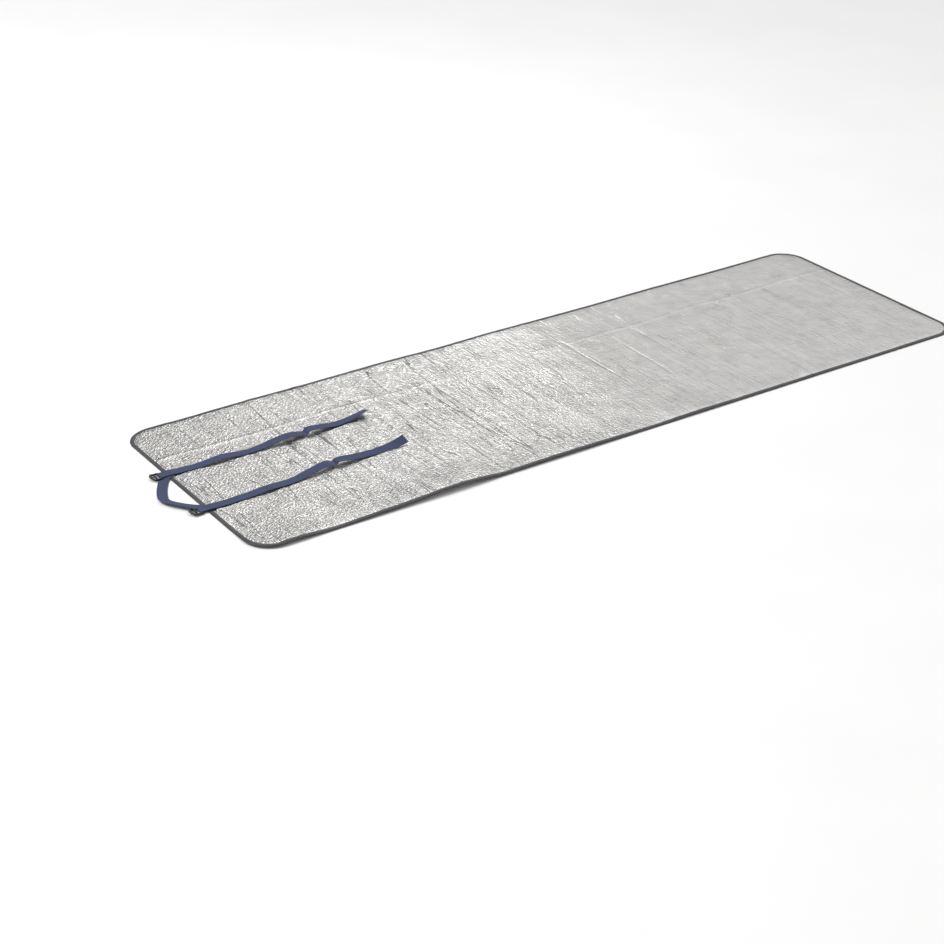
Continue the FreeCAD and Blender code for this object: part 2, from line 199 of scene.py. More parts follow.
def thickness(x, y):
    """The sheet without its tape: squeezed under the seam, full a little way in."""
    inside = edge_distance(x, y)
    pucker = 0.08 * waves(x, y, 11 * MM, 12) * (1 - smooth(6 * MM, 26 * MM, inside))
    return MM * (SQUEEZED + LOFT * smooth(SEAM_INSET, 22 * MM, inside) + pucker)


USED_TO, PLAIN_FROM = 0.62, 1.20  # distances from the strap end
PLAIN_SHARE = 0.18  # how creased the plain end is, against the used one


def used_end(x):
    """1 over the end that was creased by the straps and the roll, less towards the plain end."""
    return PLAIN_SHARE + (1 - PLAIN_SHARE) * (1 - smooth(USED_TO, PLAIN_FROM, along(x)))


FINE_CREASE, WIDE_CREASE = 7.2 * MM, 12.6 * MM  # from one crosswise crease to the next


def zigzag(phase):
    """1 at whole numbers, 0 halfway between them."""
    return np.abs(phase - np.floor(phase) - 0.5) * 2


def wrinkles(x, y):
    """Fine creases across the sheet, in patches, as the roll left them."""
    bend = 2.6 * MM * waves(x, y, 0.05, 31) + 1.1 * MM * waves(x, y, 0.017, 32)
    fine = zigzag((x + bend + 0.03 * y) / FINE_CREASE)
    wide = zigzag((x * 0.98 + bend * 1.7 - 0.02 * y) / WIDE_CREASE)
    patch = smooth(-0.15, 0.6, waves(x, y * 0.55, 0.075, 33) + 0.25 * waves(x, y, 0.021, 34))
    return patch * (0.60 * fine ** 3 + 0.55 * wide ** 4)


CREST_WIDTH = 9 * MM
CREST_HEIGHT = {1: 3.4, -1: 1.0}  # over the left and the right crease
MARK_LINE = 3.4 * MM  # width of the sharp line in each roll mark


def fold_lines(x, y):
    """Sharp folds: the two lengthwise creases, and the lines where the roll began."""
    u = along(x)
    total = np.zeros_like(x)
    for side, crest_height in CREST_HEIGHT.items():
        wander = 7.5 * MM * waves(x, y * 0, 0.13, 41 + side) + 1.6 * MM * waves(x, y * 0, 0.03, 43)
        fade = 0.30 + 0.70 * (1 - smooth(0.45, 0.9, u))
        off = y - side * CREASE - wander
        crest = ridge(np.where(off < 0, off * 2.0, off), CREST_WIDTH)
        total = total + crest_height * fade * crest
    for place, height, skew in ROLL_MARKS:
        wander = place + 0.004 + skew * y / HALF + 0.004 * waves(x * 0, y, 0.05, int(place * 900))
        broken = smooth(-0.35, 0.5, waves(x * 0, y, 0.07, int(place * 800)))
        total = total - 0.8 * height * broken * ridge(u - wander, MARK_LINE)
    return total


def crumple(x, y):
    """Relief of the upper foil."""
    coarse = 0.34 * facets(x, y, 74 * MM, 21, 0.3) + 0.14 * facets(x, y, 27 * MM, 22, 1.1)
    fine = 0.06 * facets(x, y, 13 * MM, 23, 2.0) + 0.12 * facets(x, y, 7.0 * MM, 24, 0.7)
    used = used_end(x)
    shape = used * (coarse + fine + 0.80 * wrinkles(x, y)) + 0.45 * fold_lines(x, y)
    return MM * shape * smooth(TAPE_WIDTH - 1 * MM, TAPE_WIDTH + 9 * MM, edge_distance(x, y))


def top_level(x, y):
    """The upper foil, without its crumples."""
    return underside(x, y) + thickness(x, y)


def top_relief(x, y):
    """The upper foil as it lies, crumpled."""
    return top_level(x, y) + crumple(x, y)


def bottom_relief(x, y):
    """The lower foil: held up by the tape at the rim, resting on the floor inside it."""
    inside = edge_distance(x, y)
    rim = TAPE_THICK * (1 - smooth(TAPE_WIDTH - 0.5 * MM, TAPE_WIDTH + 6 * MM, inside))
    creased = 0.16 * facets(x, y, 31 * MM, 51, 0.9) + 0.12 * facets(x, y, 12 * MM, 52, 0.2)
    return underside(x, y) + rim + MM * np.maximum(0, 0.16 + creased) * (1 - rim / TAPE_THICK)


# ------------------------------------------------------------------ meshes


def make_mesh(name, points, faces, material, slot, normals=None, attributes=None):
    """A smooth-shaded mesh that remembers each point's place at rest, for its material."""
    points = np.asarray(points, float).reshape(-1, 3)
    mesh = bpy.data.meshes.new(name)
    mesh.from_pydata(points.tolist(), [], np.asarray(faces).tolist())
    mesh.polygons.foreach_set("use_smooth", np.ones(len(mesh.polygons), bool))
    for label, values in {"rest_place": points, **(attributes or {})}.items():
        stored = mesh.attributes.new(label, "FLOAT_VECTOR", "POINT")
        stored.data.foreach_set("vector", np.asarray(values, np.float32).ravel())
    mesh.materials.append(material)
    mesh.update()
    if normals is None:
        mesh.set_sharp_from_angle(angle=SHARP)
    else:
        mesh.normals_split_custom_set_from_vertices(np.asarray(normals).reshape(-1, 3).tolist())
    made = bpy.data.objects.new(name, mesh)
    bpy.context.scene.collection.objects.link(made)
    return made


def grid_faces(rows, columns, loop=False):
    """Quads of a grid of points; loop joins the last column to the first."""
    i = np.arange(rows - 1)[:, None] * columns
    j = np.arange(columns if loop else columns - 1)[None, :]
    after = (j + 1) % columns
    return np.stack([i + j, i + columns + j, i + columns + after, i + after], -1).reshape(-1, 4)


def tube_faces(rows, columns):
    """A closed tube of rings, with a fan of quads over each end, for an even number of columns."""
    sides = grid_faces(rows, columns, loop=True)
    half = columns // 2
    caps = []
    for k in range(half - 1):
        ring = (k, k + 1, columns - 2 - k, columns - 1 - k)
        caps.append(ring)
        caps.append(tuple(reversed([(rows - 1) * columns + c for c in ring])))
    return np.vstack([sides, np.array(caps)])


def sheet_stations(inset, step):
    """Places along the sheet, closer at its rounded corners, and how far from its middle line the
    edge is at each."""
    radius = CORNER - inset
    arc = radius * (1 - np.cos(np.linspace(0, math.pi / 2, max(8, int(radius / step) + 4))))
    start, end = NEAR + inset, FAR - inset
    straight = np.linspace(start + radius, end - radius, int((end - start - 2 * radius) / step))
    stations = np.concatenate([start + arc[:-1], straight, (end - arc[:-1])[::-1]])
    entered = np.clip(np.minimum(stations - start, end - stations), 0, radius)
    return stations, HALF - CORNER + np.sqrt(radius ** 2 - (radius - entered) ** 2)


def sheet_grid(inset, step, level):
    """Points of one layer of the whole sheet as (stations, columns, 3), its normals, and the columns
    of each panel. The flaps' columns close up to follow the rounded corners."""
    stations, edge = sheet_stations(inset, step)
    flap_count = max(6, int((HALF - CREASE) / step))
    middle_count = max(8, int(2 * CREASE / step))
    flap = np.linspace(0, 1, flap_count + 1)
    middle = np.linspace(-CREASE, CREASE, middle_count + 1)
    outward = CREASE + (edge[:, None] - CREASE) * flap[None, 1:]
    y = np.hstack([-outward[:, ::-1], np.repeat(middle[None, :], len(stations), 0), outward])
    x = np.repeat(stations[:, None], y.shape[1], 1)
    points = np.stack([x, y, level(x, y)], -1)

    normals = np.cross(np.gradient(points, axis=0), np.gradient(points, axis=1))
    normals /= np.linalg.norm(normals, axis=-1, keepdims=True)
    last = y.shape[1] - 1
    panels = {
        "right": (0, flap_count),
        "middle": (flap_count, flap_count + middle_count),
        "left": (last - flap_count, last),
    }
    return points, normals, panels


def fold_with_flap(piece, panel):
    """The middle panel's piece rides with the pad; a flap's piece keeps its place, with its transform baked
    in.
    """
    if panel == "middle":
        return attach(piece, "pad")
    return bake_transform(piece)


FOIL_INSET = 3.4 * MM  # the foils' edge, hidden in the tape


def foil_layer(name, inset, step, level, material, facing):
    """One foil, as its three panels, facing up (1) or down (-1)."""
    points, normals, panels = sheet_grid(inset, step, level)
    for panel, (first, last) in panels.items():
        part, part_normals = points[:, first:last + 1], normals[:, first:last + 1] * facing
        faces = grid_faces(*part.shape[:2])
        piece = make_mesh(
            f"{name}_skin_{panel}", part, faces if facing > 0 else faces[:, ::-1],
            material, name, part_normals,
        )
        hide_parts(f"{name}_{panel}")
        fold_with_flap(piece, panel)


FOAM_GAP = 0.25 * MM  # between the foam and the lower foil
FOAM_DEPTH = 0.60 * MM  # from the upper foil down to the foam, clear of the foil's crumples


def foam_layer(material):
    """The foam between the foils, a closed slab in three panels."""
    step = 12 * MM
    inset = 3.2 * MM
    upper, _, panels = sheet_grid(inset, step, lambda x, y: top_level(x, y) - FOAM_DEPTH)
    lower, _, _ = sheet_grid(inset, step, lambda x, y: bottom_relief(x, y) + FOAM_GAP)
    for panel, (first, last) in panels.items():
        top, bottom = upper[:, first:last + 1], lower[:, first:last + 1]
        rings = np.concatenate([top, bottom[:, ::-1]], axis=1)
        faces = tube_faces(rings.shape[0], rings.shape[1])
        piece = make_mesh(f"foam_core_body_{panel}", rings, faces, material, "foam")
        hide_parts(f"foam_core_{panel}")
        fold_with_flap(piece, panel)


# ------------------------------------------------------------------ edge binding and its seam


def flap_outline(step):
    """The outline of the left flap, from crease to crease: points and inward directions."""
    quarter = math.pi / 2
    straight = HALF - CORNER - CREASE
    length = FAR - NEAR - 2 * CORNER
    run = 2 * straight + length + math.pi * CORNER
    s = np.linspace(0, run, int(run / step) + 1)
    marks = np.cumsum([0, straight, quarter * CORNER, length, quarter * CORNER, straight])
    points, inward = np.zeros((len(s), 2)), np.zeros((len(s), 2))

    def fill(part, place, direction):
        """Writes one stretch's points and inward directions."""
        points[part], inward[part] = np.stack(place, -1), np.stack(direction, -1)

    for index in range(5):
        part = (s >= marks[index]) & (s <= marks[index + 1])
        t = s[part] - marks[index]
        one, nil = np.ones_like(t), np.zeros_like(t)
        if index == 0:
            fill(part, (NEAR * one, CREASE + t), (one, nil))
        elif index == 1:
            a = t / CORNER
            place = (NEAR + CORNER - CORNER * np.cos(a), HALF - CORNER + CORNER * np.sin(a))
            fill(part, place, (np.cos(a), -np.sin(a)))
        elif index == 2:
            fill(part, (NEAR + CORNER + t, HALF * one), (nil, -one))
        elif index == 3:
            a = t / CORNER
            place = (FAR - CORNER + CORNER * np.sin(a), HALF - CORNER + CORNER * np.cos(a))
            fill(part, place, (-np.sin(a), -np.cos(a)))
        else:
            fill(part, (FAR * one, HALF - CORNER - t), (-one, nil))
    return points, inward, s


def rim_runs(panel, step):
    """The panel's stretches of the sheet's outline, each as points, inward directions and run."""
    if panel != "middle":
        points, inward, s = flap_outline(step)
        side = np.array([1, SIDES[panel]])
        return [(points * side, inward * side, s)]
    s = np.linspace(-CREASE, CREASE, int(2 * CREASE / step) + 1)
    runs = []
    for edge, direction in ((NEAR, 1), (FAR, -1)):
        points = np.stack([np.full_like(s, edge), s], -1)
        runs.append((points, np.tile([direction, 0.0], (len(s), 1)), s))
    return runs


# The tape's section, from its upper inner edge round the outside to its lower one, then back within:
# inset from the sheet's edge, share of the sheet's thickness, height above that, all in mm but the share
TAPE_SECTION = (
    (9.00, 1, 0.22), (8.80, 1, 0.44), (7.90, 1, 0.52), (7.00, 1, 0.44), (6.50, 1, 0.34),
    (6.00, 1, 0.44), (4.60, 1, 0.56), (2.60, 1, 0.52), (1.30, 1, 0.30), (0.55, 1, -0.05),
    (0.12, 1, -0.55), (0.00, 0, 1.10), (0.15, 0, 0.60), (0.60, 0, 0.20), (1.50, 0, 0.03),
    (3.00, 0, 0.00), (6.00, 0, 0.03), (6.50, 0, 0.10), (7.00, 0, 0.03), (8.80, 0, 0.02),
    (9.00, 0, 0.20), (8.70, 0, 0.38), (2.40, 0, 0.40), (1.10, 0, 0.80), (1.10, 1, -0.30),
    (2.40, 1, 0.03), (8.00, 1, 0.03), (8.70, 1, 0.05),
)
OUTSIDE_POINTS = 20  # the first of them, on the tape's outside
GATHER_PITCH = 5.2 * MM  # between the tape's little pleats round a corner


def tape_rings(points, inward, s):
    """The binding tape's section carried along a stretch of the outline."""
    section = np.array(TAPE_SECTION)
    x0, y0 = points[:, 0][:, None], points[:, 1][:, None]
    inset = section[:, 0][None, :] * MM
    bend = smooth(0.05, 0.6, np.abs(inward[:, 0] * inward[:, 1]))[:, None]
    wander = waves(x0 + 0 * inset, y0 + 0 * inset, 21 * MM, 70) * 0.35 * MM
    inner = smooth(6.8 * MM, 8.8 * MM, inset)
    uneven = 2 * waves(s[:, None], 0 * inset, 0.02, 5)
    gather = bend * np.sin(s[:, None] * 2 * math.pi / GATHER_PITCH + uneven)
    d = inset + inner * (wander + 0.30 * MM * gather)
    x, y = x0 + inward[:, :1] * d, y0 + inward[:, 1:] * d
    pull = np.cos(2 * math.pi * s / STITCH_PITCH)[:, None]
    outer_skin = (np.arange(len(section)) < OUTSIDE_POINTS)[None, :]
    stitched = np.exp(-(((inset - SEAM_INSET) / (1.3 * MM)) ** 2))
    lump = 0.05 * pull * stitched + 0.05 * waves(x0 + 30 * inset, y0 + 40 * inset, 6 * MM, 71)
    lump = lump + 0.13 * gather * smooth(1 * MM, 7 * MM, inset)
    top = section[:, 1][None, :]
    z = underside(x, y) + top * thickness(x, y) + section[:, 2][None, :] * MM
    z = z + outer_skin * top * lump * MM
    return np.stack([x, y, z], -1)


# One stitch from end to end: place along it, height of its middle line, and girth, each as a share
STITCH_SHAPE = (
    (-1.0, -0.55, 0.45), (-0.72, 0.45, 0.92), (-0.25, 1.0, 1.0),
    (0.25, 1.0, 1.0), (0.72, 0.45, 0.92), (1.0, -0.55, 0.45),
)
SEAM_STITCH = (2.9 * MM, 0.55 * MM, 0.42 * MM)  # length, width and height
BOX_STITCH = (2.1 * MM, 0.6 * MM, 0.4 * MM)
BOX_PITCH = 2.6 * MM


def stitches(places, directions, size, facing=1.0):
    """Separate stitches of thread, each a little arched bar whose ends go down into the cloth."""
    length, width, height = size
    angles = np.linspace(0, 2 * math.pi, 6, endpoint=False)
    directions = directions / np.linalg.norm(directions, axis=1, keepdims=True)
    up = np.tile(UP, (len(places), 1)) * facing
    across = np.cross(up, directions)
    across /= np.linalg.norm(across, axis=1, keepdims=True)
    rings = []
    for t, lift, wide in STITCH_SHAPE:
        centre = places + directions * (t * length / 2) + up * (lift - 0.5) * height * 0.8
        for a in angles:
            offset = across * math.cos(a) * width / 2 * wide + up * math.sin(a) * height / 2 * wide
            rings.append(centre + offset)
    points = np.stack(rings, 1)
    one = tube_faces(len(STITCH_SHAPE), len(angles))
    count = points.shape[1]
    faces = (one[None] + (np.arange(len(places)) * count)[:, None, None]).reshape(-1, 4)
    return points.reshape(-1, 3), faces


def seam_places(points, inward, s, level, shift):
    """Where the stitches of one face's seam lie, and which way each one runs."""
    marks = np.arange(s[0] + STITCH_PITCH * shift, s[-1] - 0.3 * STITCH_PITCH, STITCH_PITCH)
    marks = marks[(marks > s[0] + 1 * MM) & (marks < s[-1] - 1 * MM)]
    place = np.stack([np.interp(marks, s, points[:, k]) for k in (0, 1)], -1)
    inside = np.stack([np.interp(marks, s, inward[:, k]) for k in (0, 1)], -1)
    inside /= np.linalg.norm(inside, axis=1, keepdims=True)
    wobble = 0.12 * MM * waves(marks, marks * 0, 9 * MM, 61)
    xy = place + inside * (SEAM_INSET + wobble)[:, None]
    run = np.stack([-inside[:, 1], inside[:, 0]], -1)
    ahead, behind = xy + run * 1 * MM, xy - run * 1 * MM
    slope = (level(*ahead.T) - level(*behind.T)) / (2 * MM)
    directions = np.column_stack([run, slope])
    return np.column_stack([xy, level(*xy.T)]), directions


def upper_seam(x, y):
    """Level of the seam's stitches on the upper face."""
    return top_level(x, y) + TAPE_THICK


def lower_seam(x, y):
    """Level of the seam's stitches on the underside, clear of the floor."""
    return underside(x, y) + 0.36 * MM


def joined(parts):
    """Several (points, faces) as one."""
    starts = np.cumsum([0] + [len(points) for points, _ in parts])
    faces = [part[1] + start for part, start in zip(parts, starts)]
    return np.vstack([points for points, _ in parts]), np.vstack(faces)


def tape_mesh(runs):
    """The binding tape along some stretches of the outline."""
    parts = []
    for points, inward, s in runs:
        rings = tape_rings(points, inward, s)
        flip = np.cross(inward[0], points[1] - points[0]) > 0
        faces = tube_faces(*rings.shape[:2])
        parts.append((rings.reshape(-1, 3), faces[:, ::-1] if flip else faces))
    return joined(parts)


def seam_mesh(runs):
    """Both faces' stitches along some stretches of the outline."""
    parts = []
    for run in runs:
        for level, shift, facing in ((upper_seam, 0.5, 1.0), (lower_seam, 1.0, -1.0)):
            where, directions = seam_places(*run, level, shift)
            parts.append(stitches(where, directions, SEAM_STITCH, facing))
    return joined(parts)


def binding(tape, thread):
    """The tape round the edge and its seam, panel by panel."""
    for panel in PANELS:
        runs = rim_runs(panel, STITCH_PITCH / 4)
        piece = make_mesh(f"binding_tape_{panel}", *tape_mesh(runs), tape, "binding_tape")
        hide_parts(f"edge_binding_{panel}")
        fold_with_flap(piece, panel)
        seam = make_mesh(f"binding_stitches_{panel}", *seam_mesh(runs), thread, "grey_thread")
        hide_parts(f"binding_seam_{panel}")
        fold_with_flap(seam, panel)


# ------------------------------------------------------------------ webbing


WEB_STEP = 1.6 * MM  # between the webbing's rings


def between(t, start, end, low, high):
    """The point at t on the straight line from start, at low, to end, at high."""
    return (high - t) / (high - low) * start + (t - low) / (high - low) * end


def spline_span(points, knots):
    """The smooth curve between the middle two of four points, 24 points of it."""
    p0, p1, p2, p3 = points
    t0, t1, t2, t3 = knots
    t = np.linspace(t1, t2, 24, endpoint=False)[:, None]
    a1, a2, a3 = between(t, p0, p1, t0, t1), between(t, p1, p2, t1, t2), between(t, p2, p3, t2, t3)
    b1, b2 = between(t, a1, a2, t0, t2), between(t, a2, a3, t1, t3)
    return between(t, b1, b2, t1, t2)


def through(points, step):
    """A smooth line through points of any number of columns, at an even step along the first three."""
    points = np.asarray(points, float)
    padded = np.vstack([2 * points[0] - points[1], points, 2 * points[-1] - points[-2]])
    chord = np.sqrt(np.linalg.norm(np.diff(padded[:, :3], axis=0), axis=1)) + 1e-6
    knots = np.concatenate([[0], np.cumsum(chord)])
    spans = [spline_span(padded[k:k + 4], knots[k:k + 4]) for k in range(len(padded) - 3)]
    dense = np.vstack(spans + [points[-1:]])
    run = np.concatenate([[0], np.cumsum(np.linalg.norm(np.diff(dense[:, :3], axis=0), axis=1))])
    even = np.linspace(0, run[-1], max(3, int(run[-1] / step) + 1))
    return np.stack([np.interp(even, run, dense[:, k]) for k in range(dense.shape[1])], -1), even


RIB_PITCH = 2.2 * MM
RIB_HEIGHT = 0.07 * MM
PICK_PITCH = 2.6 * MM
SELVEDGE = 0.9 * MM


def webbing_section():
    """The webbing's section, across and up: ribs along both faces, rounded selvedges."""
    half = WEBBING / 2
    across = np.linspace(-1, 1, 49) * half
    past = np.clip((np.abs(across) - (half - SELVEDGE)) / SELVEDGE, 0, 1)
    rounding = np.sqrt(np.maximum(0, 1 - past ** 2))
    rib = RIB_HEIGHT * np.cos(2 * math.pi * across / RIB_PITCH) * (1 - past)
    up = WEB_THICK / 2 * np.maximum(rounding, 0.12) + rib - RIB_HEIGHT
    return np.concatenate([across, across[::-1]]), np.concatenate([up, -up[::-1]])


def ribbon(name, line, across, material):
    """Webbing along a line of centre points, with its width along the given directions."""
    points, run = line
    tangent = np.gradient(points, axis=0)
    tangent /= np.linalg.norm(tangent, axis=1, keepdims=True)
    across = across - tangent * np.sum(across * tangent, axis=1, keepdims=True)
    across /= np.linalg.norm(across, axis=1, keepdims=True)
    normal = np.cross(tangent, across)
    w, h = webbing_section()
    picks = 1 + 0.05 * np.cos(2 * math.pi * run / PICK_PITCH)
    rings = (
        points[:, None, :]
        + across[:, None, :] * w[None, :, None]
        + normal[:, None, :] * (h[None, :] * picks[:, None])[..., None]
    )
    weave = np.stack([
        np.repeat(w[None, :], len(run), 0),
        np.repeat(run[:, None], len(w), 1),
        np.repeat((run[-1] - run)[:, None], len(w), 1),
    ], -1)
    return make_mesh(
        name, rings, tube_faces(len(run), len(w))[:, ::-1], material, "webbing",
        attributes={"weave": weave.reshape(-1, 3)},
    )


def tilted(flat, roll):
    """Level width directions, each turned up by its roll."""
    return flat * np.cos(roll)[:, None] + UP * np.sin(roll)[:, None]


# Each strap beyond its sewn end: distance from the sheet's strap end in m, side shift towards +Y from
# its anchor and height of its lower face above the foil in mm, and roll in degrees, +Y side raised.
STRAP_WAY = {
    "left": (
        (0.031, -0.6, 0.9, 0), (0.046, -1.2, 0.3, 0), (0.075, -2.6, 0.5, 0), (0.100, -3.0, 2.6, 0),
        (0.126, -2.4, 4.8, 1), (0.150, -2.4, 2.6, 2), (0.172, -3.0, 0.4, 0), (0.200, -3.2, 0.4, -2),
        (0.222, -3.0, 1.6, 0), (0.245, -2.2, 4.8, 2), (0.270, -1.4, 7.4, 3), (0.290, -1.0, 7.4, 2),
        (0.308, -1.2, 5.2, 0), (0.322, -1.4, 3.2, -1), (0.3275, -1.4, 3.9, -1), (0.3290, -1.4, 6.2, 0),
        (0.3325, -1.2, 8.8, 1), (0.340, -0.8, 9.3, 2), (0.358, 0.0, 7.4, 2), (0.378, 0.6, 4.4, 1),
        (0.398, 1.2, 1.2, 0), (0.415, 2.2, 0.4, -2), (0.436, 4.0, 2.2, -5), (0.456, 6.4, 4.8, -11),
        (0.472, 9.0, 7.0, -17), (0.484, 11.4, 8.8, -21),
    ),
    "right": (
        (0.031, 0.0, 0.9, 0), (0.046, 0.3, 0.3, 0), (0.075, 0.8, 0.4, 0), (0.100, 1.2, 0.8, 0),
        (0.125, 2.4, 2.2, 1), (0.147, 3.4, 3.0, 1), (0.170, 4.4, 1.0, 0), (0.195, 6.0, 0.3, 0),
        (0.218, 8.4, 1.2, 2), (0.240, 11.6, 4.0, 4), (0.262, 14.6, 6.4, 6), (0.281, 17.0, 7.8, 7),
        (0.296, 18.4, 6.8, 4), (0.306, 19.0, 3.6, 0), (0.3090, 19.2, 4.2, -1),
        (0.3100, 19.3, 6.4, -2), (0.3135, 19.4, 8.6, -2), (0.321, 19.4, 8.8, 2),
        (0.340, 19.2, 6.6, 4), (0.362, 19.0, 4.2, 5), (0.388, 19.0, 2.2, 6), (0.414, 19.4, 1.4, 8),
        (0.440, 20.2, 2.4, 12), (0.460, 21.4, 4.6, 18), (0.474, 22.6, 7.2, 24), (0.483, 23.6, 9.0, 28),
    ),
}


LOOP_TURN = LOOP_RADIUS - WEB_THICK / 2  # radius of the webbing's middle, round the bar
LOOP_ANGLES = (-76, -100, -130, -158, 180, 150, 120, 96, 80)  # degrees, as seen from -Y
FOIL_CLEARANCE = 0.55 * MM  # for the foil's crumples, under a strap


def loop_rows():
    """The strap's inner sewn layer, its turn round the buckle's bar and its outer layer, as (x, z)."""
    low = STACK_TOP - 1.5 * WEB_THICK
    high = STACK_TOP - 0.5 * WEB_THICK
    rows = [(SEWN_END - 0.3 * MM, low), (NEAR + 7 * MM, low), (NEAR + 0.5 * MM, low - 0.15 * MM)]
    for degrees in LOOP_ANGLES:
        a = math.radians(degrees)
        rows.append((BAR_X + LOOP_TURN * math.cos(a), BAR_Z + LOOP_TURN * math.sin(a)))
    return rows + [
        (NEAR - 6 * MM, high - 0.15 * MM), (NEAR + 1 * MM, high), (NEAR + 8 * MM, high),
        (NEAR + 14 * MM, high - 0.05 * MM), (NEAR + 20 * MM, high - 0.9 * MM),
    ]


def free_rows(side, middle):
    """The strap's free length, as (x, y, z, roll)."""
    rows = []
    for place, shift, height, roll in STRAP_WAY[side]:
        x, y = NEAR + place, middle + shift * MM
        rest = float(top_level(np.array(x), np.array(y))) + FOIL_CLEARANCE
        rows.append((x, y, rest + height * MM + WEB_THICK / 2, math.radians(roll)))
    return rows


def strap_line(side):
    """One strap's line of centre points and its width directions."""
    middle = SIDES[side] * STRAP_Y
    sewn = [(x, middle, z, 0.0) for x, z in loop_rows()]
    line, run = through(sewn + free_rows(side, middle), WEB_STEP)
    ahead = np.gradient(line[:, :2], axis=0)
    yaw = np.where(ahead[:, 0] > 0.2 * MM, np.arctan2(ahead[:, 1], ahead[:, 0]), 0.0)
    yaw = np.where(line[:, 0] > SEWN_END + 8 * MM, yaw, 0.0)
    yaw = np.convolve(np.pad(yaw, 6, "edge"), np.ones(13) / 13, "valid")
    flat = np.stack([-np.sin(yaw), np.cos(yaw), 0 * yaw], -1)
    return (line[:, :3], run), tilted(flat, line[:, 3])


def straps(material):
    """Each strap with its buckle loop, as one length of webbing."""
    for side in SIDES:
        line, across = strap_line(side)
        piece = ribbon(f"strap_webbing_{side}", line, across, material)
        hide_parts(f"strap_{side}", f"buckle_loop_{side}")
        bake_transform(piece)


# The handle from its left sewn end to its right one: distance beyond the strap end, side place and
# height of its centre, and roll in degrees (its outer edge raised). Places in mm.
HANDLE_WAY = (
    (-13.4, 84.5, 3.40, 0), (-7.0, 83.2, 3.42, 0), (0.0, 81.0, 3.45, 0), (6.5, 76.5, 3.10, 0),
    (12.5, 70.0, 2.40, 1), (18.5, 62.0, 1.90, 1), (24.5, 52.5, 1.60, 1), (31.0, 42.0, 1.50, 1),
    (37.5, 30.0, 1.50, 1), (43.5, 17.5, 1.70, 2), (48.5, 5.0, 2.30, 4), (51.5, -7.0, 3.40, 8),
    (50.5, -19.0, 4.60, 12), (45.0, -31.5, 5.60, 15), (37.0, -44.0, 6.00, 15), (28.0, -56.0, 5.70, 13),
    (18.5, -66.5, 5.10, 9), (9.5, -75.0, 4.40, 5), (2.0, -80.0, 3.70, 1), (-3.5, -82.5, 3.45, 0),
    (-8.0, -84.5, 3.42, 0), (-13.4, -87.0, 3.40, 0),
)


def handle(material):
    """The carry handle: one length of webbing between the two sewn ends."""
    table = [
        (NEAR - reach * MM, y * MM, z * MM, math.radians(roll))
        for reach, y, z, roll in HANDLE_WAY
    ]
    line, run = through(table, WEB_STEP)
    flat = np.cross(UP, np.gradient(line[:, :3], axis=0))
    flat /= np.linalg.norm(flat, axis=1, keepdims=True)
    across = tilted(flat, -line[:, 3])
    piece = ribbon("handle_webbing", (line[:, :3], run), across, material)
    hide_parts("handle", "handle_ends")
    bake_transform(piece)


def box_runs(middle):
    """The lines of a sewn rectangle and its two diagonals, on the anchor about a middle line."""
    inset = 2.2 * MM
    low, high = NEAR + inset, SEWN_END - inset
    bottom, top = middle - WEBBING / 2 + inset, middle + WEBBING / 2 - inset
    return (
        ((low, bottom), (high, bottom)), ((high, bottom), (high, top)),
        ((high, top), (low, top)), ((low, top), (low, bottom)),
        ((low, bottom), (high, top)), ((low, top), (high, bottom)),
    )


def box_stitches(material):
    """The stitches that hold each strap's anchor."""
    for side, sign in SIDES.items():
        places, directions = [], []
        for start, end in box_runs(sign * STRAP_Y):
            start, end = np.array(start), np.array(end)
            length = np.linalg.norm(end - start)
            count = max(2, round(length / BOX_PITCH))
            for k in range(count):
                xy = start + (end - start) * (k + 0.5) / count
                places.append((*xy, STACK_TOP + 0.06 * MM))
                directions.append((*(end - start) / length, 0))
        points, faces = stitches(np.array(places), np.array(directions), BOX_STITCH)
        piece = make_mesh(f"anchor_stitches_{side}", points, faces, material, "navy_thread")
        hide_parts(f"box_stitch_{side}")
        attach(piece, "pad")


# ------------------------------------------------------------------ materials


def set_stops(ramp_node, stops):
    """A colour ramp's stops, each a value and a colour."""
    elements = ramp_node.color_ramp.elements
    while len(elements) < len(stops):
        elements.new(0.5)
    for element, (place, colour) in zip(elements, stops):
        element.position = place
        element.color = (*colour, 1)


